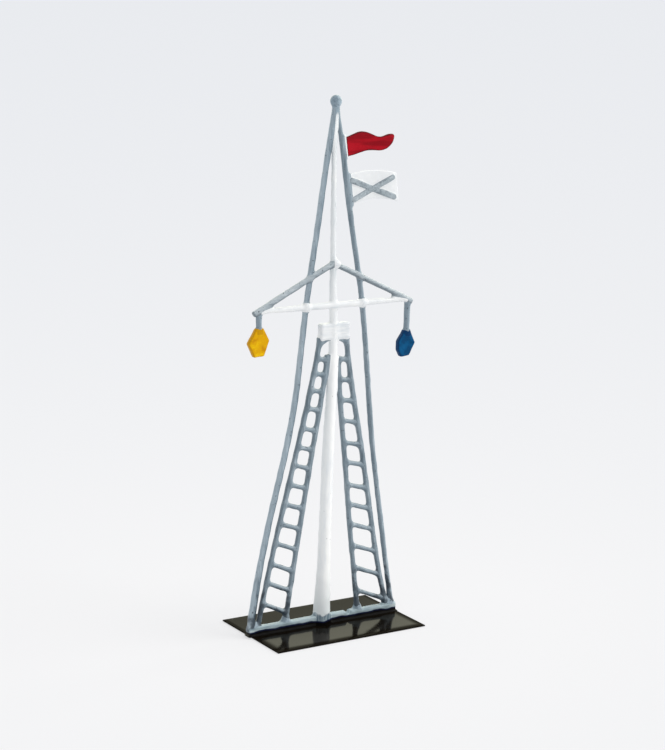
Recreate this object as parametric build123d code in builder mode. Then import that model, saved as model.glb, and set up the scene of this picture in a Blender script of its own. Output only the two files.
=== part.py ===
"""Model railway signal mast, a painted metal miniature of about H0 scale.

A round mast in two lengths stands on a tinplate base between two ladders and two stays, and
carries a yard with two hanging signal shapes, a pennant and a flag. The whole tracery lies in
one upright plane and is soldered rod to rod, so every rod below is its own solid, notched
where it laps its neighbour.

Millimetres. X runs along the foot bar, Z is up and the front faces -Y. The origin is the
middle of the base plate's underside. An axis or outline given as (x, z) points lies in the
mast's plane, Y = 0, unless it has a setback in front of that plane.
"""

import os
from math import radians, tan

from build123d import *

# ---------------------------------------------------------------- base
PLATE_LENGTH = 30.0
PLATE_WIDTH = 20.0
PLATE_THICKNESS = 0.3
BAR_ENDS = (-15.2, 14.75)
BAR_DEPTH = 1.3
BAR_HEIGHT = 1.4
BAR_NICK_X = 4.8
BAR_NICK_RADIUS = 0.5
BAR_TOP_EDGE = 0.2
BAR_TOP = PLATE_THICKNESS + BAR_HEIGHT
SOCKET_FLOOR = BAR_TOP - 0.6

# ---------------------------------------------------------------- mast
MAST_AXIS = [(-0.55, PLATE_THICKNESS), (-0.35, 5), (0.0, 15), (0.45, 30), (0.95, 40), (1.35, 52.3)]
MAST_DIAMETERS = [3.1, 2.7, 2.15, 2.0, 1.8, 1.5]
TOPMAST_AXIS = [(1.35, 52.6), (1.15, 60), (1.05, 70), (1.05, 82), (1.27, 92)]
TOPMAST_DIAMETERS = [1.45, 1.15, 0.9, 0.8, 0.85]
PLATFORM_CENTRE = (1.38, 52.83)
PLATFORM_LENGTH = 5.65
PLATFORM_DEPTH = 1.4
PLATFORM_HEIGHT = 2.65
PLATFORM_EDGE = 0.25
TRUCK_CENTRE = (1.3, 92.25)
TRUCK_DIAMETER = 1.95

# ---------------------------------------------------------------- yard, braces and hangers
YARD_HEIGHT = 57.35
YARD_ENDS = (-13.6, 16.2)
YARD_MAST_DIAMETER = 1.05
YARD_END_DIAMETER = 0.65
YARD_SETBACK = 0.35
BRACE_SETBACK = 0.25
BRACE_MAST_X = 1.1
LEFT_BRACE_END = (-14.6, 56.9)
RIGHT_BRACE_END = (17.2, 56.9)
LEFT_BRACE_TOP = 64.65
RIGHT_BRACE_TOP = 64.6
LEFT_BRACE_DIAMETER = 0.95
RIGHT_BRACE_DIAMETER = 0.88
LEFT_HANGER_AXIS = [(-13.45, 57.3), (-13.45, 53.5)]
RIGHT_HANGER_AXIS = [(16.5, 57.3), (16.35, 50.8)]
LEFT_HANGER_DIAMETER = 0.95
RIGHT_HANGER_DIAMETER = 1.0
SHAPE_THICKNESS = 1.0
SHAPE_EDGE = 0.18
YELLOW_OUTLINE = [
    (-14.15, 54.35), (-12.75, 54.35), (-11.65, 52.25),
    (-12.65, 49.65), (-14.5, 49.55), (-15.6, 51.9),
]
BLUE_OUTLINE = [
    (15.75, 51.6), (16.85, 51.75), (17.95, 49.4), (16.75, 47.2),
    (15.1, 47.1), (14.5, 48.25), (14.5, 49.85), (15.05, 50.65),
]

# ---------------------------------------------------------------- stays and ladders
LEFT_STAY_AXIS = [
    (-15.0, SOCKET_FLOOR), (-13.4, 10.3), (-11.2, 20.3), (-8.6, 30.3), (-6.4, 40.3),
    (-5.1, 50.3), (-3.5, 62.3), (-2.2, 70.3), (-0.15, 83.8), (1.05, 90.9),
]
LEFT_STAY_DIAMETERS = [1.15, 1.1, 1.0, 0.98, 0.94, 0.94, 0.95, 0.95, 0.93, 0.7]
RIGHT_STAY_AXIS = [
    (14.25, SOCKET_FLOOR), (12.75, 10.3), (11.25, 20.3), (9.8, 30.3), (8.75, 40.3),
    (7.85, 50.3), (6.3, 62.3), (4.85, 70.3), (2.8, 83.8), (2.15, 87.8), (1.6, 90.9),
]
RIGHT_STAY_DIAMETERS = [0.84, 0.84, 0.84, 0.85, 0.86, 0.87, 0.88, 0.88, 0.86, 0.66, 0.5]
STILE_WIDTH = 0.72
STILE_DEPTH = 0.7
STILE_EDGE = 0.18
STILE_TOP = PLATFORM_CENTRE[1] - PLATFORM_HEIGHT / 2
LEFT_OUTER_STILE_AXIS = [
    (-13.5, SOCKET_FLOOR), (-11.5, 10.3), (-9.0, 20.3), (-6.35, 30.3), (-3.8, 40.3), (-1.4, STILE_TOP),
]
LEFT_INNER_STILE_AXIS = [
    (-7.9, SOCKET_FLOOR), (-6.5, 10.3), (-4.75, 20.3), (-3.0, 30.3), (-1.1, 40.3), (0.2, 48.6),
]
RIGHT_INNER_STILE_AXIS = [
    (7.05, SOCKET_FLOOR), (5.95, 10.3), (4.85, 20.3), (3.9, 30.3), (2.85, 40.3), (2.4, 47.9),
]
RIGHT_OUTER_STILE_AXIS = [
    (13.2, SOCKET_FLOOR), (11.0, 10.3), (9.25, 20.3), (7.55, 30.3), (5.65, 40.3), (3.9, STILE_TOP),
]
RUNG_DIAMETER = 0.66
RUNG_SLOPE_FOOT = -26.0
RUNG_SLOPE_HEAD = -9.0
LEFT_RUNG_HEIGHTS = [4.5, 8.3, 11.7, 15.4, 18.9, 22.4, 25.9, 29.3, 32.5, 35.8, 39.3, 42.5, 45.4, 48.0]
RIGHT_RUNG_HEIGHTS = [4.0, 8.5, 12.8, 16.9, 20.7, 24.4, 28.65, 32.3, 36.35, 40.2, 43.9, 47.6]
LEFT_HEAD_OUTLINE = [(-1.4, STILE_TOP), (0.6, STILE_TOP), (-0.5, STILE_TOP - 0.7), (-1.6, STILE_TOP - 0.9)]
RIGHT_HEAD_OUTLINE = [(2.0, STILE_TOP), (3.9, STILE_TOP), (4.05, STILE_TOP - 0.9), (3.0, STILE_TOP - 0.7)]

# ---------------------------------------------------------------- pennant and flag
PENNANT_THICKNESS = 0.4
PENNANT_TOP_EDGE = [
    (3.0, 85.95), (5.0, 86.6), (6.6, 86.9), (8.5, 86.45), (10.2, 85.9), (11.8, 86.3), (12.45, 86.35),
]
PENNANT_TIP = (12.9, 86.15)
PENNANT_LOWER_EDGE = [(12.9, 85.65), (12.2, 84.5), (10.8, 83.7), (8.0, 83.75), (5.5, 83.2), (3.5, 82.8)]
PENNANT_HALYARD_AXIS = [(3.0, 86.4), (3.5, 82.6)]
FLAG_THICKNESS = 0.35
FLAG_TOP_EDGE = [(4.1, 79.65), (8.0, 80.2), (13.5, 79.6)]
FLAG_LOWER_EDGE = [(14.1, 74.6), (11.0, 75.3), (8.0, 75.3), (4.75, 74.45)]
FLAG_HALYARD_AXIS = [(4.05, 79.8), (4.75, 74.3)]
HALYARD_DIAMETER = 0.5
SALTIRE_WIDTH = 0.8
SALTIRE_THICKNESS = 0.25
RISING_ARM = [(4.75, 75.25), (13.05, 79.05)]
FALLING_ARM = [(4.2, 78.8), (13.4, 75.35)]

# ---------------------------------------------------------------- solder
BEAD_HEIGHT = 0.8
BEAD_DEPTH = 0.6
BEAD_TAPER = 0.6
FOOT_BEADS = {-14.3: 1.0, -7.85: 0.85, 7.0: 0.8, 13.65: 1.15}
BRACE_LUMP = (1.5, 64.55)
BRACE_LUMP_RADIUS = 0.72
YARD_CROSSINGS = (-4.3, 7.0)
CROSSING_RADIUS = 0.66
WEB_THICKNESS = 0.5
LEFT_WEB_OUTLINE = [(-13.4, YARD_HEIGHT), (-10.9, YARD_HEIGHT), (-11.3, YARD_HEIGHT + 1.4)]
RIGHT_WEB_OUTLINE = [(15.8, YARD_HEIGHT), (13.1, YARD_HEIGHT), (13.5, YARD_HEIGHT + 1.3)]


# ---------------------------------------------------------------- helpers
def round_rod(axis_points, diameter, setback=0.0):
    """A round rod bent smoothly through its axis points, ahead of the mast's plane by setback."""
    with BuildPart() as rod:
        with BuildLine(Plane.XZ.offset(setback)) as axis:
            Spline(*axis_points)
        with BuildSketch(Plane(axis.line @ 0, z_dir=axis.line % 0)):
            Circle(diameter / 2)
        sweep(path=axis.line)
    return rod.part


def turned_rod(axis_points, diameters, setback=0.0):
    """A rod whose diameter changes smoothly from one axis point to the next."""
    with BuildPart() as rod:
        with BuildLine(Plane.XZ.offset(setback)) as axis:
            Spline(*axis_points)
        for (x, z), diameter in zip(axis_points, diameters):
            station = axis.edge().param_at_point((x, -setback, z))
            with BuildSketch(Plane(axis.line @ station, x_dir=(0, 1, 0), z_dir=axis.line % station)):
                Circle(diameter / 2)
        sweep(path=axis.line, multisection=True)
    return rod.part


def stile(axis_points):
    """A ladder side: rounded strip standing edge-on in the mast's plane."""
    with BuildPart() as strip:
        with BuildLine(Plane.XZ) as axis:
            Spline(*axis_points)
        with BuildSketch(Plane(axis.line @ 0, x_dir=(0, 1, 0), z_dir=axis.line % 0)):
            RectangleRounded(STILE_DEPTH, STILE_WIDTH, STILE_EDGE)
        sweep(path=axis.line)
    return strip.part


def upright_plate(outline, thickness):
    """A flat plate with the outline of straight edges between (x, z) points."""
    with BuildPart() as plate:
        with BuildSketch(Plane.XZ):
            with BuildLine():
                Polyline(*outline, close=True)
            make_face()
        extrude(amount=thickness / 2, both=True)
    return plate.part


def axis_x(axis_points, height):
    """How far along X a bent axis stands at a height."""
    for (x_low, z_low), (x_high, z_high) in zip(axis_points, axis_points[1:]):
        if z_low <= height <= z_high:
            return x_low + (x_high - x_low) * (height - z_low) / (z_high - z_low)
    return axis_points[-1][0]


def rungs(left_axis, right_axis, heights):
    """Sloping round rungs that run from one stile's axis to the other's."""
    with BuildPart() as steps:
        for height in heights:
            slope = RUNG_SLOPE_FOOT + (RUNG_SLOPE_HEAD - RUNG_SLOPE_FOOT) * height / STILE_TOP
            middle = (axis_x(left_axis, height) + axis_x(right_axis, height)) / 2
            half_rise = (middle - axis_x(left_axis, height)) * tan(radians(slope))
            left_end = (axis_x(left_axis, height - half_rise), 0, height - half_rise)
            right_end = (axis_x(right_axis, height + half_rise), 0, height + half_rise)
            with BuildSketch(Plane(left_end, z_dir=Vector(right_end) - Vector(left_end))):
                Circle(RUNG_DIAMETER / 2)
            extrude(amount=(Vector(right_end) - Vector(left_end)).length)
    return steps.part


def solder_lump(x, height, radius, setback):
    """A rounded lump of solder standing at a junction."""
    with BuildPart() as lump:
        with Locations((x, -setback, height)):
            Sphere(radius)
    return lump.part


def flag_sheet(top_edge, lower_edge, tip, thickness):
    """A flag cast as a flat sheet, with wavy long edges and a rounded or straight fly."""
    with BuildPart() as sheet:
        with BuildSketch(Plane.XZ):
            with BuildLine():
                Spline(*top_edge)
                if tip:
                    ThreePointArc(top_edge[-1], tip, lower_edge[0])
                else:
                    Line(top_edge[-1], lower_edge[0])
                Spline(*lower_edge)
                Line(lower_edge[-1], top_edge[0])
            make_face()
        extrude(amount=thickness / 2, both=True)
    return sheet.part


def saltire_arm(ends):
    """One arm of the saltire: a flat lath with rounded ends on each face of the flag."""
    (x_start, z_start), (x_end, z_end) = ends
    span = Vector(x_end - x_start, z_end - z_start)
    tilt = span.get_signed_angle(Vector(1, 0), Vector(0, 0, -1))
    front_face = FLAG_THICKNESS / 2
    back_of_arm = -FLAG_THICKNESS / 2 - SALTIRE_THICKNESS
    with BuildPart() as arm:
        for start in (front_face, back_of_arm):
            with BuildSketch(Plane.XZ.offset(start)):
                with Locations(Location(((x_start + x_end) / 2, (z_start + z_end) / 2), tilt)):
                    SlotOverall(span.length, SALTIRE_WIDTH)
            extrude(amount=SALTIRE_THICKNESS)
    return arm.part


# ---------------------------------------------------------------- rods before they are notched
left_brace_rod = round_rod(
    [(BRACE_MAST_X, LEFT_BRACE_TOP), LEFT_BRACE_END], LEFT_BRACE_DIAMETER, BRACE_SETBACK
)
right_brace_rod = round_rod(
    [(BRACE_MAST_X, RIGHT_BRACE_TOP), RIGHT_BRACE_END], RIGHT_BRACE_DIAMETER, BRACE_SETBACK
)
left_stay_rod = turned_rod(LEFT_STAY_AXIS, LEFT_STAY_DIAMETERS)
right_stay_rod = turned_rod(RIGHT_STAY_AXIS, RIGHT_STAY_DIAMETERS)
mast_rod = turned_rod(MAST_AXIS, MAST_DIAMETERS)
topmast_rod = turned_rod(TOPMAST_AXIS, TOPMAST_DIAMETERS)
yard_rod = turned_rod(
    [(x, YARD_HEIGHT) for x in (YARD_ENDS[0], PLATFORM_CENTRE[0], YARD_ENDS[1])],
    [YARD_END_DIAMETER, YARD_MAST_DIAMETER, YARD_END_DIAMETER],
    YARD_SETBACK,
)
left_outer_rod = stile(LEFT_OUTER_STILE_AXIS)
left_inner_rod = stile(LEFT_INNER_STILE_AXIS)
right_inner_rod = stile(RIGHT_INNER_STILE_AXIS)
right_outer_rod = stile(RIGHT_OUTER_STILE_AXIS)
feet = [left_stay_rod, left_outer_rod, left_inner_rod, right_inner_rod, right_outer_rod, right_stay_rod]


# ---------------------------------------------------------------- base plate and foot bar
with BuildPart() as base_plate:
    with BuildSketch():
        Rectangle(PLATE_LENGTH, PLATE_WIDTH)
    extrude(amount=PLATE_THICKNESS)

# The bar has a nick in its top edge and a socket for each foot that stands in it.
with BuildPart() as foot_bar:
    with BuildSketch(Plane.XZ):
        with Locations((sum(BAR_ENDS) / 2, PLATE_THICKNESS + BAR_HEIGHT / 2)):
            Rectangle(BAR_ENDS[1] - BAR_ENDS[0], BAR_HEIGHT)
        with Locations((BAR_NICK_X, BAR_TOP)):
            Circle(BAR_NICK_RADIUS, mode=Mode.SUBTRACT)
    extrude(amount=BAR_DEPTH / 2, both=True)
    fillet(foot_bar.edges().filter_by(Axis.X).group_by(Axis.Z)[-1], BAR_TOP_EDGE)
    for foot in feet:
        add(foot, mode=Mode.SUBTRACT)

# ---------------------------------------------------------------- mast
# The foot of the mast is slotted and stands astride the bar, down on the plate.
with BuildPart() as lower_mast:
    add(mast_rod)
    with BuildSketch(Plane.XZ):
        with Locations((MAST_AXIS[0][0], PLATE_THICKNESS + BAR_HEIGHT / 2)):
            Rectangle(2 * MAST_DIAMETERS[0], BAR_HEIGHT)
    extrude(amount=BAR_DEPTH / 2, both=True, mode=Mode.SUBTRACT)
    split(bisect_by=Plane.XY.offset(PLATE_THICKNESS), keep=Keep.TOP)

# The yard is let into the front of the topmast.
with BuildPart() as topmast:
    add(topmast_rod)
    add(yard_rod, mode=Mode.SUBTRACT)

# The platform block has a socket for each length of the mast, from below and from above.
with BuildPart() as platform_box:
    with BuildSketch(Plane.XZ):
        with Locations(PLATFORM_CENTRE):
            Rectangle(PLATFORM_LENGTH, PLATFORM_HEIGHT)
    extrude(amount=PLATFORM_DEPTH / 2, both=True)
    fillet(platform_box.edges(), PLATFORM_EDGE)
    add(mast_rod, mode=Mode.SUBTRACT)
    add(topmast_rod, mode=Mode.SUBTRACT)

with BuildPart() as truck_ball:
    with Locations((TRUCK_CENTRE[0], 0, TRUCK_CENTRE[1])):
        Sphere(TRUCK_DIAMETER / 2)
    add(topmast_rod, mode=Mode.SUBTRACT)

# ---------------------------------------------------------------- yard, braces and hangers
with BuildPart() as left_brace:
    add(left_brace_rod)
    add(topmast_rod, mode=Mode.SUBTRACT)

with BuildPart() as right_brace:
    add(right_brace_rod)
    add(topmast_rod, mode=Mode.SUBTRACT)

# The yard's two ends are mitred against the undersides of the braces.
with BuildPart() as yard:
    add(yard_rod)
    add(left_brace_rod, mode=Mode.SUBTRACT)
    add(right_brace_rod, mode=Mode.SUBTRACT)

with BuildPart() as left_hanger:
    add(round_rod(LEFT_HANGER_AXIS, LEFT_HANGER_DIAMETER))
    add(left_brace_rod, mode=Mode.SUBTRACT)
    add(yard_rod, mode=Mode.SUBTRACT)

with BuildPart() as right_hanger:
    add(round_rod(RIGHT_HANGER_AXIS, RIGHT_HANGER_DIAMETER))
    add(right_brace_rod, mode=Mode.SUBTRACT)
    add(yard_rod, mode=Mode.SUBTRACT)

with BuildPart() as yellow_signal_shape:
    add(upright_plate(YELLOW_OUTLINE, SHAPE_THICKNESS))
    fillet(yellow_signal_shape.edges(), SHAPE_EDGE)
    add(left_hanger.part, mode=Mode.SUBTRACT)

with BuildPart() as blue_signal_shape:
    add(upright_plate(BLUE_OUTLINE, SHAPE_THICKNESS))
    fillet(blue_signal_shape.edges(), SHAPE_EDGE)
    add(right_hanger.part, mode=Mode.SUBTRACT)

# ---------------------------------------------------------------- stays
# Both stays pass behind the yard and the braces, which are let into them.
with BuildPart() as left_stay:
    add(left_stay_rod)
    for lapped in (yard.part, left_brace.part, topmast_rod):
        add(lapped, mode=Mode.SUBTRACT)

with BuildPart() as right_stay:
    add(right_stay_rod)
    for lapped in (yard.part, right_brace.part, topmast_rod):
        add(lapped, mode=Mode.SUBTRACT)

# ---------------------------------------------------------------- ladders
with BuildPart() as left_ladder_outer_stile:
    add(left_outer_rod)
    add(platform_box.part, mode=Mode.SUBTRACT)

with BuildPart() as left_ladder_inner_stile:
    add(left_inner_rod)
    add(mast_rod, mode=Mode.SUBTRACT)

with BuildPart() as left_ladder_rungs:
    add(rungs(LEFT_OUTER_STILE_AXIS, LEFT_INNER_STILE_AXIS, LEFT_RUNG_HEIGHTS))
    for neighbour in (left_outer_rod, left_inner_rod, mast_rod):
        add(neighbour, mode=Mode.SUBTRACT)

with BuildPart() as right_ladder_inner_stile:
    add(right_inner_rod)
    add(mast_rod, mode=Mode.SUBTRACT)

with BuildPart() as right_ladder_outer_stile:
    add(right_outer_rod)
    add(platform_box.part, mode=Mode.SUBTRACT)

with BuildPart() as right_ladder_rungs:
    add(rungs(RIGHT_INNER_STILE_AXIS, RIGHT_OUTER_STILE_AXIS, RIGHT_RUNG_HEIGHTS))
    for neighbour in (right_inner_rod, right_outer_rod, mast_rod):
        add(neighbour, mode=Mode.SUBTRACT)

# The head of each ladder is a short gusset under the platform, between stile and mast.
with BuildPart() as left_ladder_head:
    add(upright_plate(LEFT_HEAD_OUTLINE, STILE_DEPTH))
    for neighbour in (left_outer_rod, mast_rod):
        add(neighbour, mode=Mode.SUBTRACT)

with BuildPart() as right_ladder_head:
    add(upright_plate(RIGHT_HEAD_OUTLINE, STILE_DEPTH))
    for neighbour in (right_outer_rod, mast_rod):
        add(neighbour, mode=Mode.SUBTRACT)

# ---------------------------------------------------------------- pennant and flag
with BuildPart() as pennant_halyard:
    add(round_rod(PENNANT_HALYARD_AXIS, HALYARD_DIAMETER))
    add(right_stay_rod, mode=Mode.SUBTRACT)

with BuildPart() as red_pennant:
    add(flag_sheet(PENNANT_TOP_EDGE, PENNANT_LOWER_EDGE, PENNANT_TIP, PENNANT_THICKNESS))
    for neighbour in (pennant_halyard.part, right_stay_rod):
        add(neighbour, mode=Mode.SUBTRACT)

with BuildPart() as flag_halyard:
    add(round_rod(FLAG_HALYARD_AXIS, HALYARD_DIAMETER))
    add(right_stay_rod, mode=Mode.SUBTRACT)

with BuildPart() as white_flag:
    add(flag_sheet(FLAG_TOP_EDGE, FLAG_LOWER_EDGE, None, FLAG_THICKNESS))
    for neighbour in (flag_halyard.part, right_stay_rod):
        add(neighbour, mode=Mode.SUBTRACT)

with BuildPart() as saltire_rising_arm:
    add(saltire_arm(RISING_ARM))
    add(flag_halyard.part, mode=Mode.SUBTRACT)

with BuildPart() as saltire_falling_arm:
    add(saltire_arm(FALLING_ARM))
    for neighbour in (flag_halyard.part, saltire_rising_arm.part):
        add(neighbour, mode=Mode.SUBTRACT)

# ---------------------------------------------------------------- solder
# A bead of solder stands on the bar round each ladder and stay foot.
with BuildPart() as foot_solder:
    for x, half_length in FOOT_BEADS.items():
        with BuildSketch(Plane.XY.offset(BAR_TOP)):
            with Locations((x, 0)):
                Ellipse(half_length, BEAD_DEPTH)
        with BuildSketch(Plane.XY.offset(BAR_TOP + BEAD_HEIGHT)):
            with Locations((x, 0)):
                Ellipse(half_length * BEAD_TAPER, BEAD_DEPTH * BEAD_TAPER)
        loft()
    for foot in feet:
        add(foot, mode=Mode.SUBTRACT)
    add(left_ladder_rungs.part, mode=Mode.SUBTRACT)
    add(right_ladder_rungs.part, mode=Mode.SUBTRACT)

with BuildPart() as brace_solder:
    add(solder_lump(*BRACE_LUMP, BRACE_LUMP_RADIUS, BRACE_SETBACK))
    for neighbour in (topmast_rod, left_brace_rod, right_brace_rod):
        add(neighbour, mode=Mode.SUBTRACT)

with BuildPart() as yard_solder:
    for crossing_x in YARD_CROSSINGS:
        with Locations((crossing_x, -YARD_SETBACK, YARD_HEIGHT)):
            Sphere(CROSSING_RADIUS)
    for neighbour in (yard_rod, left_stay_rod, right_stay_rod):
        add(neighbour, mode=Mode.SUBTRACT)

# A web of solder fills the sharp corner between each end of the yard and its brace.
with BuildPart() as left_yard_web:
    add(upright_plate(LEFT_WEB_OUTLINE, WEB_THICKNESS))
    for neighbour in (yard_rod, left_brace_rod):
        add(neighbour, mode=Mode.SUBTRACT)

with BuildPart() as right_yard_web:
    add(upright_plate(RIGHT_WEB_OUTLINE, WEB_THICKNESS))
    for neighbour in (yard_rod, right_brace_rod):
        add(neighbour, mode=Mode.SUBTRACT)

# ---------------------------------------------------------------- export
pieces = {
    "base_plate": base_plate,
    "foot_bar": foot_bar,
    "lower_mast": lower_mast,
    "platform_box": platform_box,
    "topmast": topmast,
    "truck_ball": truck_ball,
    "yard": yard,
    "left_brace": left_brace,
    "right_brace": right_brace,
    "left_hanger": left_hanger,
    "right_hanger": right_hanger,
    "yellow_signal_shape": yellow_signal_shape,
    "blue_signal_shape": blue_signal_shape,
    "left_stay": left_stay,
    "right_stay": right_stay,
    "left_ladder_outer_stile": left_ladder_outer_stile,
    "left_ladder_inner_stile": left_ladder_inner_stile,
    "left_ladder_rungs": left_ladder_rungs,
    "left_ladder_head": left_ladder_head,
    "right_ladder_inner_stile": right_ladder_inner_stile,
    "right_ladder_outer_stile": right_ladder_outer_stile,
    "right_ladder_rungs": right_ladder_rungs,
    "right_ladder_head": right_ladder_head,
    "red_pennant": red_pennant,
    "pennant_halyard": pennant_halyard,
    "white_flag": white_flag,
    "flag_halyard": flag_halyard,
    "saltire_rising_arm": saltire_rising_arm,
    "saltire_falling_arm": saltire_falling_arm,
    "foot_solder": foot_solder,
    "brace_solder": brace_solder,
    "yard_solder": yard_solder,
    "left_yard_web": left_yard_web,
    "right_yard_web": right_yard_web,
}

os.makedirs("parts", exist_ok=True)
for name, piece in pieces.items():
    piece.part.label = name
    export_step(piece.part, f"parts/{name}.step")
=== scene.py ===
"""Looks of the model signal mast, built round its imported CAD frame.

The model is soldered wire and strip under brush-painted enamel. Each CAD node becomes a distance
field, the fields are joined with the soft fillets that solder and thick paint leave, and each
node's own share of that one coat is meshed as a piece. All paint is procedural.

Lengths are in millimetres, and mesh code turns them into Blender's metres at the end.
"""

from math import cos, radians, sin, tau

import bpy
import numpy as np
import openvdb
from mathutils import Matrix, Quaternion, Vector


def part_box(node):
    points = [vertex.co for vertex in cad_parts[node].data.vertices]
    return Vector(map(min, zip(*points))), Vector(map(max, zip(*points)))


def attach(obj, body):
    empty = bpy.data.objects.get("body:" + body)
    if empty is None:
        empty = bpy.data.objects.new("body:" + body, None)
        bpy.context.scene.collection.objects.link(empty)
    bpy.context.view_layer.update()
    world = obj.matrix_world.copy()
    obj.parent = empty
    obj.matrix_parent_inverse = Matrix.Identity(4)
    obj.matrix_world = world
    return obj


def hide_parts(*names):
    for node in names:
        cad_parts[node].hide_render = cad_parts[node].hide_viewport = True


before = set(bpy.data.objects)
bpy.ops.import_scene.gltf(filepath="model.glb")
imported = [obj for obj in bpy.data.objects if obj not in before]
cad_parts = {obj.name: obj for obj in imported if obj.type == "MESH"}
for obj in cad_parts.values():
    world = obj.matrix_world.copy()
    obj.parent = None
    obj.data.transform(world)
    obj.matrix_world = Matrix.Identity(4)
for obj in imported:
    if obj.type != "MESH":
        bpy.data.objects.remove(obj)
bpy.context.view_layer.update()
MM = 1000.0


def box_mm(node):
    """The two corners of a CAD node's box, in millimetres."""
    low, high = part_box(node)
    return np.array(low) * MM, np.array(high) * MM


# ---------------------------------------------------------------- the coat of solder and paint
VOXEL = 0.1
BAND_VOXELS = 8
BAND = VOXEL * BAND_VOXELS
ROD_FILLET = 0.55
LADDER_FILLET = 0.75
SHEET_FILLET = 0.16
PLATE_FILLET = 0.45
POOL_REACH = 0.42
TUCK = 0.2
TUCK_SLOPE = 0.35
PAINT_THICKNESS = 0.05
CRUMB_FACES = 80
SHEETS = ("red_pennant", "white_flag", "saltire_rising_arm", "saltire_falling_arm")
RIMMED = ("red_pennant", "yellow_signal_shape", "blue_signal_shape")
TRANSFORM = openvdb.createLinearTransform(voxelSize=VOXEL)
SKINNED = sorted(set(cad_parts) - {"base_plate"})
PLATE_TOP = box_mm("base_plate")[1][2]


def cad_mesh(node):
    """Points and triangles of a CAD node."""
    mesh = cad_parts[node].data
    mesh.calc_loop_triangles()
    points = np.empty(3 * len(mesh.vertices), np.float32)
    mesh.vertices.foreach_get("co", points)
    corners = np.empty(3 * len(mesh.loop_triangles), np.int32)
    mesh.loop_triangles.foreach_get("vertices", corners)
    return points.reshape(-1, 3) * MM, corners.reshape(-1, 3).astype(np.uint32)


def voxel_block(low, high):
    """First voxel and shape of the block round a box, with the width of the band to spare."""
    first = np.floor((np.array(low) - BAND) / VOXEL).astype(int)
    last = np.ceil((np.array(high) + BAND) / VOXEL).astype(int)
    return first, last - first + 1


def distance_block(node):
    """Signed distances round one CAD node, and the block's first voxel."""
    points, triangles = cad_mesh(node)
    grid = openvdb.FloatGrid.createLevelSetFromPolygons(
        points, triangles=triangles, transform=TRANSFORM, halfWidth=BAND_VOXELS
    )
    first, shape = voxel_block(points.min(0), points.max(0))
    block = np.empty(shape, np.float32)
    grid.copyToArray(block, ijk=tuple(int(i) for i in first))
    return block, first


def smooth_minimum(a, b, reach):
    """The smaller of two distances, filleted where they differ by less than reach."""
    near = np.maximum(reach - np.abs(a - b), 0) / reach
    return np.minimum(a, b) - near * near * (reach / 4)


def soften(field):
    """Averages a field with its neighbours along each axis, which rounds every edge a little."""
    for axis in range(3):
        inner = [slice(None)] * 3
        before, after = list(inner), list(inner)
        inner[axis] = slice(1, -1)
        before[axis] = slice(None, -2)
        after[axis] = slice(2, None)
        mean = (field[tuple(before)] + 2 * field[tuple(inner)] + field[tuple(after)]) / 4
        field[tuple(inner)] = mean


LUMP_WAVES = 14
LUMP_LENGTHS = (1.3, 5.0)
LUMP_HEIGHT = 0.006


def lumps(points):
    """How far the hand-laid paint stands proud at each point: a sum of slow random waves."""
    random = np.random.default_rng(7)
    height = np.zeros(len(points), np.float32)
    for _ in range(LUMP_WAVES):
        direction = random.normal(size=3)
        direction /= np.linalg.norm(direction)
        length = random.uniform(*LUMP_LENGTHS)
        phase = random.uniform(0, tau)
        height += np.sin(points @ (direction * tau / length).astype(np.float32) + phase)
    return height * LUMP_HEIGHT


class Coat:
    """One continuous coat over every rod, strip and sheet, from which each node takes its share."""

    def __init__(self, nodes):
        boxes = [box_mm(node) for node in nodes]
        low = np.min([box[0] for box in boxes], axis=0)
        high = np.max([box[1] for box in boxes], axis=0)
        self.first, shape = voxel_block(low, high)
        self.field = np.full(shape, BAND, np.float32)
        self.nearest = np.full(shape, BAND, np.float32)
        self.second = np.full(shape, BAND, np.float32)
        self.blocks = {}
        for node in sorted(nodes, key=lambda name: name in SHEETS):
            self.lay_over(node)
        heights = (self.first[2] + np.arange(shape[2])) * VOXEL
        self.field = smooth_minimum(self.field, (heights - PLATE_TOP).astype(np.float32), PLATE_FILLET)
        soften(self.field)
        skin = np.nonzero(np.abs(self.field) < 3 * VOXEL)
        points = (np.stack(skin, axis=1) + self.first).astype(np.float32) * VOXEL
        self.field[skin] -= lumps(points)
        self.field -= PAINT_THICKNESS

    def lay_over(self, node):
        """Joins a node's distances to the field."""
        block, first = distance_block(node)
        start = first - self.first
        window = tuple(slice(int(a), int(a) + int(n)) for a, n in zip(start, block.shape))
        self.blocks[node] = (block, first, window)
        reach = SHEET_FILLET if node in SHEETS else ROD_FILLET
        if "ladder" in node:
            reach = LADDER_FILLET
        self.field[window] = smooth_minimum(self.field[window], block, reach)
        self.second[window] = np.minimum(self.second[window], np.maximum(self.nearest[window], block))
        self.nearest[window] = np.minimum(self.nearest[window], block)

    def share(self, node):
        """A node's share of the coat. It dives a little way beneath its neighbours' shares."""
        block, first, window = self.blocks[node]
        nearest = self.nearest[window]
        rival = np.where(block <= nearest, self.second[window], nearest)
        lead = block - rival
        share = self.field[window] + TUCK_SLOPE * np.maximum(lead, 0)
        heights = (first[2] + np.arange(block.shape[2])) * VOXEL
        below_plate = (PLATE_TOP - TUCK / 2 - heights).astype(np.float32)
        for cut in (lead - TUCK, block - POOL_REACH, below_plate):
            share = np.maximum(share, cut)
        return share, first


def without_crumbs(points, faces):
    """Leaves out islands of a few faces, which a share can shed where three nodes meet."""
    island = np.arange(len(points))
    while True:
        lowest = island[faces].min(axis=1)
        joined = island.copy()
        np.minimum.at(joined, faces.ravel(), np.repeat(lowest, faces.shape[1]))
        joined = joined[joined]
        if (joined == island).all():
            break
        island = joined
    face_island = island[faces[:, 0]]
    sizes = np.bincount(face_island, minlength=len(points))
    faces = faces[sizes[face_island] >= CRUMB_FACES]
    used = np.unique(faces)
    renumbered = np.zeros(len(points), int)
    renumbered[used] = np.arange(len(used))
    return points[used], renumbered[faces]


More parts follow.
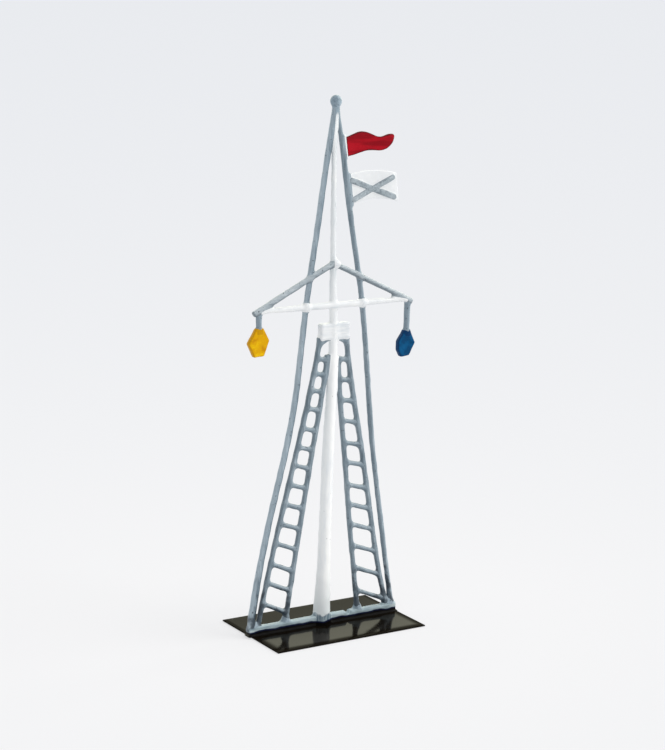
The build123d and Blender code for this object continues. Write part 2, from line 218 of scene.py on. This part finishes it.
def mesh_piece(name, points, faces):
    """A smooth-shaded object from points in millimetres, in the frame's place."""
    mesh = bpy.data.meshes.new(name)
    mesh.from_pydata((points / MM).tolist(), [], faces.tolist())
    mesh.polygons.foreach_set("use_smooth", np.ones(len(mesh.polygons), bool))
    piece = bpy.data.objects.new(name, mesh)
    bpy.context.scene.collection.objects.link(piece)
    return piece


WAVE_HEIGHT = 0.25
WAVES_TO_FLY = 0.9


def waved(points, hoist_x, fly_x):
    """Points of a cloth-like sheet, bent into a gentle wave that grows away from its hoist."""
    share = np.clip((points[:, 0] - hoist_x) / (fly_x - hoist_x), 0, 1)
    bent = points.copy()
    bent[:, 1] += WAVE_HEIGHT * share * np.sin(tau * WAVES_TO_FLY * share)
    return bent


def depth_in_outline(coat, node, points):
    """How far inside a flat shape's outline each point lies, up to half the shape's thickness."""
    block, first, _ = coat.blocks[node]
    cells = np.rint(points / VOXEL).astype(int) - first
    cells = np.clip(cells, 0, np.array(block.shape) - 1)
    return -block[cells[:, 0], block.shape[1] // 2, cells[:, 2]]


def coat_piece(coat, node):
    """The painted piece that stands for a CAD node."""
    share, first = coat.share(node)
    grid = openvdb.FloatGrid(BAND)
    grid.transform = TRANSFORM
    grid.copyFromArray(share, ijk=tuple(int(i) for i in first))
    points, _, faces = grid.convertToPolygons(isovalue=0, adaptivity=0)
    points, faces = without_crumbs(points, faces[:, ::-1].astype(int))
    flat_points = points
    if node in SHEETS:
        cloth = "red_pennant" if node == "red_pennant" else "white_flag"
        low, high = box_mm(cloth)
        points = waved(points, low[0], high[0])
    piece = mesh_piece(node + "_painted", points, faces)
    if node in RIMMED:
        depth = depth_in_outline(coat, node, flat_points)
        layer = piece.data.attributes.new("depth_in_outline", "FLOAT", "POINT")
        layer.data.foreach_set("value", depth.astype(np.float32))
    return piece


# ---------------------------------------------------------------- the tinplate base
SHEET_CELL = 0.6
SHEET_DENT = 0.012
EDGE_STATIONS = 5


def sheet_stations(low, high, roll):
    """Places across the sheet: even cells between two rolled edges."""
    curl = roll * (1 - np.cos(np.linspace(0, tau / 4, EDGE_STATIONS)))
    inner = np.linspace(low + roll, high - roll, int((high - low) / SHEET_CELL))
    return np.concatenate([low + curl[:-1], inner, (high - curl[:-1])[::-1]])


def tinplate(name, node):
    """A thin sheet with rolled edges and slight dents in its upper face."""
    low, high = box_mm(node)
    roll = (high[2] - low[2]) / 2
    x = sheet_stations(low[0], high[0], roll)
    y = sheet_stations(low[1], high[1], roll)
    across, along = np.meshgrid(x, y, indexing="ij")
    middle = (low + high) / 2
    past = np.maximum(
        np.abs(across - middle[0]) - (high[0] - middle[0] - roll),
        np.abs(along - middle[1]) - (high[1] - middle[1] - roll),
    )
    rise = roll * np.sqrt(np.clip(1 - (np.maximum(past, 0) / roll) ** 2, 0, 1))
    flat = np.stack([across.ravel(), along.ravel(), np.zeros(across.size)], axis=1)
    dents = np.sin(flat[:, 0] / 1.9 + 2 * np.sin(flat[:, 1] / 3.1)) * np.cos(flat[:, 1] / 2.3)
    top, bottom = flat.copy(), flat.copy()
    top[:, 2] = middle[2] + rise.ravel() + SHEET_DENT * dents * (rise.ravel() / roll)
    bottom[:, 2] = middle[2] - rise.ravel()
    rim = rise.ravel() < 1e-6
    index = np.arange(across.size).reshape(across.shape)
    lower_index = np.where(rim, np.arange(across.size), across.size + np.arange(across.size))
    lower_index = lower_index.reshape(across.shape)

    def cells(grid, upward):
        corners = [grid[:-1, :-1], grid[1:, :-1], grid[1:, 1:], grid[:-1, 1:]]
        quads = np.stack([corner.ravel() for corner in corners], axis=1)
        return quads if upward else quads[:, ::-1]

    faces = np.concatenate([cells(index, True), cells(lower_index, False)])
    points = np.concatenate([top, bottom])
    used = np.unique(faces)
    renumbered = np.zeros(len(points), int)
    renumbered[used] = np.arange(len(used))
    return mesh_piece(name, points[used], renumbered[faces])


# ---------------------------------------------------------------- paint
def srgb(red, green, blue):
    """A display colour, 0 to 255, as the linear values that Blender works in."""
    linear = []
    for value in (red / 255, green / 255, blue / 255):
        linear.append(value / 12.92 if value <= 0.04045 else ((value + 0.055) / 1.055) ** 2.4)
    return (*linear, 1.0)


COAT_ROUGHNESS = 0.1


class Paint:
    """A material under construction, with short ways to add nodes. Places are in millimetres."""

    def __init__(self, name):
        self.material = bpy.data.materials.new(name)
        self.material.use_nodes = True
        self.nodes = self.material.node_tree.nodes
        self.nodes.clear()
        place = self.add("ShaderNodeTexCoord").outputs["Object"]
        self.place = self.vector("MULTIPLY", place, (MM, MM, MM))
        axes = self.add("ShaderNodeSeparateXYZ", {0: self.place}).outputs
        self.x, self.y, self.z = axes

    def add(self, kind, inputs=None, **settings):
        node = self.nodes.new(kind)
        for key, value in settings.items():
            setattr(node, key, value)
        for key, value in (inputs or {}).items():
            if isinstance(value, bpy.types.NodeSocket):
                self.material.node_tree.links.new(value, node.inputs[key])
            else:
                node.inputs[key].default_value = value
        return node

    def vector(self, operation, a, b):
        return self.add("ShaderNodeVectorMath", {0: a, 1: b}, operation=operation).outputs[0]

    def math(self, operation, a, b=0.0):
        return self.add("ShaderNodeMath", {0: a, 1: b}, operation=operation).outputs[0]

    def noise(self, cell, stretch=(1, 1, 1), detail=2.0, seed=0.0):
        """Cloudy values round 0.5 whose features are one cell wide, times the stretch."""
        scale = tuple(1 / (cell * along) for along in stretch)
        place = self.vector("ADD", self.vector("MULTIPLY", self.place, scale), (seed, seed, seed))
        inputs = {"Vector": place, "Scale": 1.0, "Detail": detail, "Roughness": 0.55}
        return self.add("ShaderNodeTexNoise", inputs).outputs["Fac"]

    def step(self, value, low, high):
        """0 up to low, 1 from high, and a smooth rise between them."""
        inputs = {"Value": value, "From Min": low, "From Max": high}
        return self.add("ShaderNodeMapRange", inputs, interpolation_type="SMOOTHSTEP").outputs[0]

    def mix(self, share, first, second, blend="MIX"):
        node = self.add("ShaderNodeMix", data_type="RGBA", blend_type=blend)
        for key, value in ((0, share), (6, first), (7, second)):
            if isinstance(value, bpy.types.NodeSocket):
                self.material.node_tree.links.new(value, node.inputs[key])
            else:
                node.inputs[key].default_value = value
        return node.outputs[2]

    def crevices(self):
        """1 in a concave corner and 0 on open or convex surface."""
        pointiness = self.add("ShaderNodeNewGeometry").outputs["Pointiness"]
        return self.step(pointiness, 0.49, 0.44)

    def ridges(self):
        """1 on an outer edge and 0 on flat or concave surface."""
        pointiness = self.add("ShaderNodeNewGeometry").outputs["Pointiness"]
        return self.step(pointiness, 0.52, 0.6)

    def flank(self, towards):
        """1 where the surface faces towards the given direction, 0 where it faces away."""
        normal = self.add("ShaderNodeTexCoord").outputs["Normal"]
        inputs = {0: normal, 1: towards}
        facing = self.add("ShaderNodeVectorMath", inputs, operation="DOT_PRODUCT").outputs["Value"]
        return self.step(facing, -0.75, 0.75)

    def finish(self, colour, roughness, height, bump, specular=0.5, gloss=0.0):
        """Joins colour, sheen and brush relief in one surface, with a share of clear gloss over it."""
        relief = self.add("ShaderNodeBump", {"Height": height, "Distance": bump / MM, "Strength": 1.0})
        surface = self.add(
            "ShaderNodeBsdfPrincipled",
            {
                "Base Color": colour,
                "Roughness": roughness,
                "Specular IOR Level": specular,
                "Normal": relief.outputs[0],
                "Coat Weight": gloss,
                "Coat Roughness": COAT_ROUGHNESS,
                "Coat Normal": relief.outputs[0],
            },
        )
        self.add("ShaderNodeOutputMaterial", {0: surface.outputs[0]})
        return self.material


RIGHT = (1, 0, 0)
LEFT = (-1, 0, 0)
UP = (0.3, 0, 0.95)
UPRIGHT = (1, 1, 9)
LEVEL = (9, 1, 1)
EVEN = (1, 1, 1)
BRUSH_WIDTH = 0.35
BRUSH_RELIEF = 0.012
# Painted shade in concave corners and a painted highlight on outer edges.
PAINTED_CORNER_SHADE = 0.6
PAINTED_RIDGE_HIGHLIGHT = 0.3
GREY_SHINE = 0.4
BAR_SHINE = 0.06
MAST_SHINE = 0.4
GLOSSY_SHINE = 0.1
CHIP_SIZE = 0.4
CHIP_COVER = 0.8
# Darker slate towards the feet; its lean onto the shaded flank is painted shade.
SLATE_TOP = 21.0
SLATE_FULL = 14.5
SLATE_RAGGEDNESS = 22.0
SLATE_SHADE_LEAN = 4.0
CHIP = srgb(58, 64, 72)
SLATE = srgb(42, 53, 64)
# Painted shade for the mast's left flank.
SHADED_WHITE = srgb(226, 231, 234)
BLUE_GREY = ((102, 119, 131), (145, 162, 173), (184, 198, 207))
PLAIN_GREY = ((116, 127, 135), (160, 171, 177), (198, 206, 210))


def brushed(paint, dark, main, light, grain, seed):
    """Enamel laid on by brush: streaks along the work, cloudy patches, painted shade in the corners and
    a painted highlight on the edges.
    """
    streaks = paint.noise(BRUSH_WIDTH, grain, 3.0, seed)
    clouds = paint.noise(2.2, tuple(1 + (g - 1) * 0.25 for g in grain), 2.0, seed + 11)
    tone = paint.math("ADD", paint.math("MULTIPLY", streaks, 0.55), paint.math("MULTIPLY", clouds, 0.45))
    colour = paint.mix(paint.step(tone, 0.32, 0.52), dark, main)
    colour = paint.mix(paint.step(tone, 0.52, 0.70), colour, light)
    # Painted shade darkens the concave corners, and a painted highlight lightens the outer edges.
    colour = paint.mix(paint.math("MULTIPLY", paint.crevices(), PAINTED_CORNER_SHADE), colour, dark)
    colour = paint.mix(paint.math("MULTIPLY", paint.ridges(), PAINTED_RIDGE_HIGHLIGHT), colour, light)
    return colour, streaks


def with_chips(paint, colour, seed, rarity=0.69):
    """Adds the dark flecks of bare solder that show where a brush skipped."""
    chips = paint.step(paint.noise(CHIP_SIZE, EVEN, 1.0, seed + 23), rarity, rarity + 0.03)
    return paint.mix(paint.math("MULTIPLY", chips, CHIP_COVER), colour, CHIP)


def satin(paint, streaks, low=0.32, high=0.5):
    """Roughness that follows the brush marks or clouds."""
    inputs = {"Value": streaks, "From Min": 0.3, "From Max": 0.7, "To Min": low, "To Max": high}
    return paint.add("ShaderNodeMapRange", inputs).outputs[0]


def grey_enamel(name, grain, tone, seed, greys=BLUE_GREY, lit_and_pale_side=RIGHT, shade=0.45, slate_share=0.85):
    """Grey enamel with painted shade on one flank, a painted highlight on the other, and darker slate
    towards the feet.

    Tone makes the whole coat lighter or darker. The flank that faces the given side is lighter: painted
    light, except on the left stay, whose paler left flank is its own paint.
    """
    paint = Paint(name)
    dark, main, light = (srgb(*(channel * tone for channel in grey)) for grey in greys)
    colour, streaks = brushed(paint, dark, main, light, grain, seed)
    flank = paint.flank(lit_and_pale_side)
    # Painted shade on the flank that faces away from the given side, and a painted highlight on the
    # flank that faces towards it.
    colour = paint.mix(paint.math("MULTIPLY", paint.step(flank, 0.5, 0.0), shade), colour, dark)
    colour = paint.mix(paint.math("MULTIPLY", paint.step(flank, 0.6, 1.0), 0.4), colour, light)
    # Darker slate towards the feet, reaching higher on the flank with painted shade.
    ragged = paint.math("MULTIPLY", paint.noise(1.3, EVEN, 3.0, seed + 31), SLATE_RAGGEDNESS)
    leaning = paint.math("ADD", ragged, paint.math("MULTIPLY", flank, SLATE_SHADE_LEAN))
    reach = paint.math("ADD", paint.z, leaning)
    slated = paint.math("MULTIPLY", paint.step(reach, SLATE_TOP, SLATE_FULL), slate_share)
    colour = paint.mix(slated, colour, SLATE)
    colour = with_chips(paint, colour, seed)
    return paint.finish(colour, satin(paint, streaks), streaks, BRUSH_RELIEF, GREY_SHINE)


def white_enamel(name, grain, seed, thin=(214, 220, 224)):
    """White enamel, thin enough for the grey beneath to show in places."""
    paint = Paint(name)
    colour, streaks = brushed(paint, srgb(*thin), srgb(236, 238, 239), srgb(247, 248, 246), grain, seed)
    return paint.finish(colour, satin(paint, streaks), streaks, BRUSH_RELIEF)


BLACK_HEIGHT = 0.87
BLACK_WAVES = 0.55
BLACK_WAVE_LENGTH = 2.2
NAVY_SEAM = 0.4
BLACK = srgb(12, 10, 9)
NAVY = srgb(26, 32, 62)
FOOT_PALE_TOP = 12.0
FOOT_GREY_TOP = 3.3
TRUCK_GREY_FOOT = 90.6


def above_black(paint):
    """Height above the wavy line to which the bar and the mast's foot are blackened."""
    waves = paint.math("MULTIPLY", paint.noise(BLACK_WAVE_LENGTH, EVEN, 1.0, 2.0), BLACK_WAVES)
    return paint.math("SUBTRACT", paint.z, paint.math("ADD", BLACK_HEIGHT, waves))


def blackened(paint, colour):
    """The colour down to the wavy line, then a navy seam and black."""
    above = above_black(paint)
    black = paint.mix(paint.step(above, -NAVY_SEAM, -0.05), BLACK, NAVY)
    return paint.mix(paint.step(above, -0.08, 0.1), black, colour)


def bar_paint():
    """Grey above and black below, with the wavy border of a hand-held brush."""
    paint = Paint("foot_bar_paint")
    grey, streaks = brushed(
        paint, srgb(122, 140, 151), srgb(168, 186, 192), srgb(210, 221, 222), LEVEL, 3.0
    )
    colour = blackened(paint, grey)
    return paint.finish(colour, satin(paint, streaks, 0.3, 0.5), streaks, BRUSH_RELIEF, BAR_SHINE)


def mast_paint():
    """White enamel with painted shade on its left flank, greyer towards the foot, where grey and black
    from the bar run onto it.
    """
    paint = Paint("lower_mast_paint")
    white, streaks = brushed(
        paint, srgb(238, 241, 243), srgb(249, 250, 249), srgb(252, 252, 249), UPRIGHT, 5.0
    )
    # Painted shade greys the mast's left flank, away from the key light.
    shaded_flank = paint.step(paint.flank(RIGHT), 0.3, 0.0)
    white = paint.mix(paint.math("MULTIPLY", shaded_flank, 0.3), white, SHADED_WHITE)
    ragged = paint.math("MULTIPLY", paint.noise(0.9, EVEN, 2.0, 8.0), 1.6)
    foot = paint.math("ADD", paint.z, ragged)
    colour = paint.mix(paint.step(foot, FOOT_PALE_TOP, 2.0), white, srgb(228, 234, 235))
    grey = paint.mix(paint.step(streaks, 0.4, 0.65), srgb(100, 120, 134), srgb(168, 184, 190))
    colour = paint.mix(paint.step(foot, FOOT_GREY_TOP, 2.8), colour, grey)
    colour = blackened(paint, with_chips(paint, colour, 5.0, 0.77))
    shine = paint.math("MULTIPLY", paint.step(above_black(paint), 0.0, 1.0), MAST_SHINE)
    return paint.finish(colour, satin(paint, streaks), streaks, BRUSH_RELIEF, shine)


def topmast_paint():
    """White enamel up to the truck, where the grey of the ball and stays comes down over it."""
    paint = Paint("topmast_paint")
    white, streaks = brushed(
        paint, srgb(212, 219, 222), srgb(236, 239, 240), srgb(247, 248, 246), UPRIGHT, 6.0
    )
    grey = paint.mix(streaks, srgb(120, 140, 152), srgb(165, 182, 193))
    ragged = paint.math("MULTIPLY", paint.noise(0.8, UPRIGHT, 2.0, 4.0), 2.0)
    reach = paint.math("ADD", paint.z, ragged)
    colour = paint.mix(paint.step(reach, TRUCK_GREY_FOOT, TRUCK_GREY_FOOT + 0.7), white, grey)
    return paint.finish(colour, satin(paint, streaks), streaks, BRUSH_RELIEF)


# Painted shade along the outline of a flat shape.
RIM_INNER = 0.19
RIM_OUTER = 0.02
RIM_SHADE_COVER = 0.9
# The fourth colour of each set is painted shade along the outline.
YELLOWS = ((204, 142, 0), (222, 166, 0), (236, 188, 4), (196, 142, 6))
BLUES = ((0, 66, 108), (2, 82, 128), (10, 92, 140), (2, 50, 92))
REDS = ((142, 2, 20), (172, 8, 28), (192, 14, 36), (84, 6, 22))


def glossy_enamel(name, colours, roughness, seed, grain=EVEN):
    """Full-bodied enamel on a small flat shape, with painted shade darkening its outline.

    The colours are dark, main, light, and the painted shade of the outline.
    """
    paint = Paint(name)
    dark, main, light, rim = (srgb(*colour) for colour in colours)
    streaks = paint.noise(BRUSH_WIDTH, grain, 3.0, seed)
    clouds = paint.noise(1.6, grain, 2.0, seed + 11)
    colour = paint.mix(paint.step(clouds, 0.38, 0.52), dark, main)
    colour = paint.mix(paint.step(clouds, 0.54, 0.68), colour, light)
    depth = paint.add("ShaderNodeAttribute", attribute_name="depth_in_outline").outputs["Fac"]
    # Painted shade darkens the shape towards its outline.
    outline_shade = paint.math("MULTIPLY", paint.step(depth, RIM_INNER, RIM_OUTER), RIM_SHADE_COVER)
    colour = paint.mix(outline_shade, colour, rim)
    sheen = satin(paint, streaks, roughness, roughness + 0.12)
    return paint.finish(colour, sheen, streaks, BRUSH_RELIEF, GLOSSY_SHINE)


LACQUER_GLOSS = 0.3
REAR_WEAR = 0.19
EDGE_WEAR = 0.25
POOL_WIDTH = 3.0
POOL_RISE = 0.42
FRONT_MARGIN = (-8.2, -9.4)
END_MARGIN = (13.2, 14.5)
REAR_HALF = (-1.0, 3.0)
SPECK_SIZE = 0.28
SPECK_COVER = 0.4


def black_lacquer():
    """Brown-black lacquer on tinplate, pooled against the bar and dull at the rear and the margins."""
    paint = Paint("black_lacquer_paint")
    clouds = paint.noise(4.0, (1.5, 1, 1), 3.0, 1.0)
    specks = paint.step(paint.noise(SPECK_SIZE, EVEN, 1.0, 9.0), 0.70, 0.78)
    colour = paint.mix(clouds, srgb(12, 10, 6), srgb(24, 19, 12))
    colour = paint.mix(paint.math("MULTIPLY", specks, SPECK_COVER), colour, srgb(60, 52, 42))
    roughness = satin(paint, clouds, 0.3, 0.5)
    rear = paint.math("MULTIPLY", paint.step(paint.y, *REAR_HALF), REAR_WEAR)
    front_margin = paint.step(paint.y, *FRONT_MARGIN)
    end_margins = paint.step(paint.math("ABSOLUTE", paint.x), *END_MARGIN)
    margin = paint.math("MULTIPLY", paint.math("MAXIMUM", front_margin, end_margins), EDGE_WEAR)
    gloss = paint.math("SUBTRACT", LACQUER_GLOSS, paint.math("MAXIMUM", rear, margin))
    from_bar = paint.math("ABSOLUTE", paint.y)
    pool = paint.math("EXPONENT", paint.math("DIVIDE", from_bar, -POOL_WIDTH))
    relief = paint.math("MULTIPLY", pool, POOL_RISE)
    relief = paint.math("ADD", relief, paint.math("MULTIPLY", clouds, 0.01))
    return paint.finish(colour, roughness, relief, 1.0, 0.0, gloss)


# The key light comes from the right and from above, so the lighter flanks set here are painted light; on
# the left stay the paler left flank is its own paint.
LEFT_STAY_GREY = grey_enamel("left_stay_grey", UPRIGHT, 0.98, 1.0, lit_and_pale_side=LEFT, shade=1.0)
RIGHT_STAY_GREY = grey_enamel("right_stay_grey", UPRIGHT, 0.94, 1.5)
GREY_LADDER = grey_enamel("ladder_grey", UPRIGHT, 0.91, 2.0)
GREY_RUNG = grey_enamel("rung_grey", LEVEL, 0.92, 3.0, lit_and_pale_side=UP, shade=0.5)
GREY_BRACE = grey_enamel("brace_grey", LEVEL, 1.02, 4.0, PLAIN_GREY, UP, 1.0)
GREY_SALTIRE = grey_enamel("saltire_grey", EVEN, 1.02, 10.0, PLAIN_GREY)
GREY_HANGER = grey_enamel("hanger_grey", UPRIGHT, 0.98, 5.0)
GREY_SOLDER = grey_enamel("solder_grey", EVEN, 1.08, 6.0, slate_share=0.15)
WHITE_UPRIGHT = white_enamel("upright_white", UPRIGHT, 7.0)
WHITE_LEVEL = white_enamel("level_white", LEVEL, 8.0)
WHITE_SOLDER = white_enamel("solder_white", EVEN, 9.0)
WHITE_FLAG = white_enamel("flag_white", EVEN, 12.0, (238, 241, 243))

PAINTS = {
    "foot_bar": bar_paint(),
    "lower_mast": mast_paint(),
    "topmast": topmast_paint(),
    "platform_box": WHITE_LEVEL,
    "truck_ball": GREY_SOLDER,
    "yard": WHITE_LEVEL,
    "left_brace": GREY_BRACE,
    "right_brace": GREY_BRACE,
    "left_hanger": GREY_HANGER,
    "right_hanger": GREY_HANGER,
    "yellow_signal_shape": glossy_enamel("yellow_paint", YELLOWS, 0.3, 1.0),
    "blue_signal_shape": glossy_enamel("blue_paint", BLUES, 0.28, 2.0),
    "left_stay": LEFT_STAY_GREY,
    "right_stay": RIGHT_STAY_GREY,
    "left_ladder_outer_stile": GREY_LADDER,
    "left_ladder_inner_stile": GREY_LADDER,
    "left_ladder_rungs": GREY_RUNG,
    "left_ladder_head": GREY_LADDER,
    "right_ladder_inner_stile": GREY_LADDER,
    "right_ladder_outer_stile": GREY_LADDER,
    "right_ladder_rungs": GREY_RUNG,
    "right_ladder_head": GREY_LADDER,
    "red_pennant": glossy_enamel("red_paint", REDS, 0.38, 3.0, LEVEL),
    "pennant_halyard": WHITE_UPRIGHT,
    "white_flag": WHITE_FLAG,
    "flag_halyard": RIGHT_STAY_GREY,
    "saltire_rising_arm": GREY_SALTIRE,
    "saltire_falling_arm": GREY_SALTIRE,
    "foot_solder": GREY_SOLDER,
    "brace_solder": WHITE_SOLDER,
    "yard_solder": WHITE_SOLDER,
    "left_yard_web": GREY_BRACE,
    "right_yard_web": GREY_BRACE,
}


def dress(piece, node, material):
    """Paints a piece and puts it in the place of its CAD node."""
    piece.data.materials.append(material)
    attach(piece, "root")
    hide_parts(node)


coat = Coat(SKINNED)
for node in SKINNED:
    dress(coat_piece(coat, node), node, PAINTS[node])
dress(tinplate("base_plate_lacquered", "base_plate"), "base_plate", black_lacquer())


# ---------------------------------------------------------------- floor, light and camera
FLOOR_HALF = 6000.0
FLOOR_DROP = 0.03
FLOOR_NEAR = srgb(236, 236, 237)
FLOOR_FAR = srgb(223, 225, 229)
FLOOR_CLEARING = 40.0
FLOOR_FADE = 200.0
FLOOR_GLOW = 1.11
FLOOR_GLOW_SHARE = 0.6
SKY_STRENGTH = 0.78
SKY_COLOUR = (0.985, 0.99, 1.0)
BANK_COLOUR = (3.0, 3.0, 2.4, 1.0)
BANK_DIRECTION = (0.52, 0.854, 0.0)
BANK_EDGES = (0.2, 0.75)
KEY_STRENGTH = 1.7
KEY_ANGLE = 60.0
KEY_FROM = (0.78, -0.32, 0.62)
CAMERA_AZIMUTH = -31.34
CAMERA_ELEVATION = 11.49
CAMERA_ROLL = 0.68
CAMERA_DISTANCE = 348.6
CAMERA_TARGET = (1.23, 0.0, 45.0)
CAMERA_LENS = 96.4


def lay_floor():
    """A plain pale floor like a light table, just beneath the plate and dimmer into the distance."""
    corners = np.array([(-1, -1), (1, -1), (1, 1), (-1, 1)]) * FLOOR_HALF
    points = np.column_stack([corners, np.full(4, -FLOOR_DROP)])
    floor = mesh_piece("studio_floor", points, np.array([[0, 1, 2, 3]]))
    paint = Paint("floor_paper")
    distance = paint.add("ShaderNodeVectorMath", {0: paint.place}, operation="LENGTH").outputs["Value"]
    beyond = paint.math("MAXIMUM", paint.math("SUBTRACT", distance, FLOOR_CLEARING), 0.0)
    fade = paint.math("DIVIDE", beyond, paint.math("ADD", beyond, FLOOR_FADE))
    colour = paint.mix(fade, FLOOR_NEAR, FLOOR_FAR)
    paper = paint.add("ShaderNodeBsdfDiffuse", {"Color": colour}).outputs[0]
    glow = paint.add("ShaderNodeEmission", {"Color": colour, "Strength": FLOOR_GLOW}).outputs[0]
    surface = paint.add("ShaderNodeMixShader", {0: FLOOR_GLOW_SHARE, 1: paper, 2: glow})
    paint.add("ShaderNodeOutputMaterial", {0: surface.outputs[0]})
    floor.data.materials.append(paint.material)


def light_sky():
    """Even light from all round, and behind the mast a warm bank that only glossy rays see."""
    world = bpy.data.worlds.new("studio")
    bpy.context.scene.world = world
    world.use_nodes = True
    nodes, links = world.node_tree.nodes, world.node_tree.links
    nodes.clear()
    direction = nodes.new("ShaderNodeTexCoord").outputs["Generated"]
    towards_bank = nodes.new("ShaderNodeVectorMath")
    towards_bank.operation = "DOT_PRODUCT"
    links.new(direction, towards_bank.inputs[0])
    towards_bank.inputs[1].default_value = BANK_DIRECTION
    bank = nodes.new("ShaderNodeMapRange")
    bank.interpolation_type = "SMOOTHSTEP"
    links.new(towards_bank.outputs["Value"], bank.inputs["Value"])
    bank.inputs["From Min"].default_value = BANK_EDGES[0]
    bank.inputs["From Max"].default_value = BANK_EDGES[1]
    ray = nodes.new("ShaderNodeLightPath")
    share = nodes.new("ShaderNodeMath")
    share.operation = "MULTIPLY"
    links.new(bank.outputs[0], share.inputs[0])
    links.new(ray.outputs["Is Glossy Ray"], share.inputs[1])
    tint = nodes.new("ShaderNodeMix")
    tint.data_type = "RGBA"
    links.new(share.outputs[0], tint.inputs[0])
    tint.inputs[6].default_value = (*SKY_COLOUR, 1.0)
    tint.inputs[7].default_value = BANK_COLOUR
    background = nodes.new("ShaderNodeBackground")
    background.inputs["Strength"].default_value = SKY_STRENGTH
    links.new(tint.outputs[2], background.inputs["Color"])
    output = nodes.new("ShaderNodeOutputWorld")
    links.new(background.outputs[0], output.inputs[0])


def hang_key():
    """A broad key light from the front right."""
    lamp = bpy.data.lights.new("key", "SUN")
    lamp.energy = KEY_STRENGTH
    lamp.angle = radians(KEY_ANGLE)
    lamp.color = (1.0, 0.99, 0.96)
    key = bpy.data.objects.new("key", lamp)
    key.rotation_mode = "QUATERNION"
    key.rotation_quaternion = Vector(KEY_FROM).to_track_quat("Z", "Y")
    bpy.context.scene.collection.objects.link(key)


def set_camera():
    """A long lens, looking slightly down at the front from the left."""
    turn, tilt = radians(CAMERA_AZIMUTH), radians(CAMERA_ELEVATION)
    back = Vector((sin(turn) * cos(tilt), -cos(turn) * cos(tilt), sin(tilt)))
    camera = bpy.data.objects.new("camera", bpy.data.cameras.new("camera"))
    camera.data.lens = CAMERA_LENS
    camera.data.clip_start = 0.01
    camera.data.clip_end = 100.0
    camera.location = (Vector(CAMERA_TARGET) + back * CAMERA_DISTANCE) / MM
    camera.rotation_mode = "QUATERNION"
    roll = Quaternion((0, 0, 1), radians(CAMERA_ROLL))
    camera.rotation_quaternion = (-back).to_track_quat("-Z", "Y") @ roll
    bpy.context.scene.collection.objects.link(camera)
    bpy.context.scene.camera = camera


lay_floor()
light_sky()
hang_key()
set_camera()
bpy.context.scene.view_settings.view_transform = "Standard"
